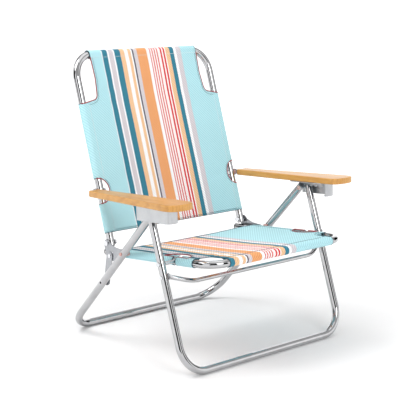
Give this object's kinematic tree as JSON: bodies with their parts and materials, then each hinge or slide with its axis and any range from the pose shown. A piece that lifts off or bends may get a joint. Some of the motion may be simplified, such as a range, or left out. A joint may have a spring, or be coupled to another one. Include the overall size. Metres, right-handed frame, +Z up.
{
  "type": "folding beach chair",
  "caption": "Low folding chair with a bent tube frame, striped fabric slings for seat and back, and wooden arms on notched brackets that set the back's lean.",
  "frame": {"origin": "centre of the outline's footprint, on the floor under the two leg bars", "axes": "+Z up, -Y the way the sitter faces, X across the chair"},
  "size_m": [0.654, 0.5539, 0.7258],
  "materials": {
    "polished_aluminium": "bright polished tube",
    "zinc_steel": "zinc-plated pressed steel, satin",
    "arm_wood": "clear-varnished hardwood",
    "sling_fabric": "woven striped polyester",
    "plug_plastic": "moulded, matte",
    "spacer_nylon": "moulded nylon"
  },
  "bodies": {
    "seat": {"seat_frame": "polished_aluminium", "seat_rear_bar": "polished_aluminium", "seat_sling": "sling_fabric", "left_hinge_plate": "zinc_steel", "right_hinge_plate": "zinc_steel", "hinge_plate_rivets": "zinc_steel", "front_leg_rivets": "zinc_steel", "front_leg_spacers": "zinc_steel", "seat_tube_plugs": "plug_plastic"},
    "front_legs": {"front_leg": "polished_aluminium", "front_stretcher": "polished_aluminium", "stretcher_rivets": "zinc_steel", "leg_top_bolts": "zinc_steel"},
    "rear_legs": {"rear_leg": "polished_aluminium", "rear_leg_spacers": "spacer_nylon"},
    "link_straps": {"left_link_strap": "zinc_steel", "right_link_strap": "zinc_steel", "link_rivets": "zinc_steel"},
    "hinge_pins": {"hinge_bolts": "zinc_steel"},
    "back": {"back_frame": "polished_aluminium", "back_sling": "sling_fabric", "back_tube_plugs": "plug_plastic", "arm_pivot_washers": "spacer_nylon"},
    "arm_pivots": {"arm_pivot_bolts": "zinc_steel"},
    "left_arm": {"left_armrest": "arm_wood", "left_arm_bracket": "zinc_steel", "left_arm_eye": "zinc_steel", "left_arm_screws": "zinc_steel"},
    "right_arm": {"right_armrest": "arm_wood", "right_arm_bracket": "zinc_steel", "right_arm_eye": "zinc_steel", "right_arm_screws": "zinc_steel"}
  },
  "joints": [
    {"name": "fold", "type": "hinge", "parent": "seat", "child": "front_legs", "pos_m": [0, -0.14284, 0.26084], "axis": [1, 0, 0], "range_deg": [0, 95.29]},
    {"name": "back_fold", "type": "hinge", "parent": "seat", "child": "hinge_pins", "pos_m": [0, 0.10165, 0.258], "axis": [1, 0, 0], "range_deg": [0, 103.62]},
    {"name": "recline", "type": "hinge", "parent": "hinge_pins", "child": "back", "pos_m": [0, 0.10165, 0.258], "axis": [-1, 0, 0], "range_deg": [0, 24]},
    {"name": "rear_leg_fold", "type": "hinge", "parent": "front_legs", "child": "rear_legs", "pos_m": [0, -0.09485, 0.3765], "axis": [1, 0, 0], "range_deg": [-58.11, 0]},
    {"name": "strap_fold", "type": "hinge", "parent": "seat", "child": "link_straps", "pos_m": [0, 0.08815, 0.228], "axis": [1, 0, 0], "range_deg": [-108.35, 0]},
    {"name": "arm_fold", "type": "hinge", "parent": "back", "child": "arm_pivots", "pos_m": [0, 0.1465, 0.38257], "axis": [1, 0, 0], "range_deg": [-111.56, 0]},
    {"name": "left_arm_recline", "type": "hinge", "parent": "arm_pivots", "child": "left_arm", "pos_m": [0, 0.1465, 0.38257], "axis": [1, 0, 0], "range_deg": [0, 19.02]},
    {"name": "right_arm_recline", "type": "hinge", "parent": "arm_pivots", "child": "right_arm", "pos_m": [0, 0.1465, 0.38257], "axis": [1, 0, 0], "range_deg": [0, 19.02]}
  ],
  "couplings": [
    {"joint": "back_fold", "follows": "fold", "ratio": 1.0872},
    {"joint": "rear_leg_fold", "follows": "fold", "ratio": -0.60965},
    {"joint": "strap_fold", "follows": "fold", "ratio": -1.1369},
    {"joint": "arm_fold", "follows": "fold", "ratio": -1.1706},
    {"joint": "left_arm_recline", "follows": "recline", "ratio": 0.79188},
    {"joint": "right_arm_recline", "follows": "recline", "ratio": 0.79188}
  ]
}
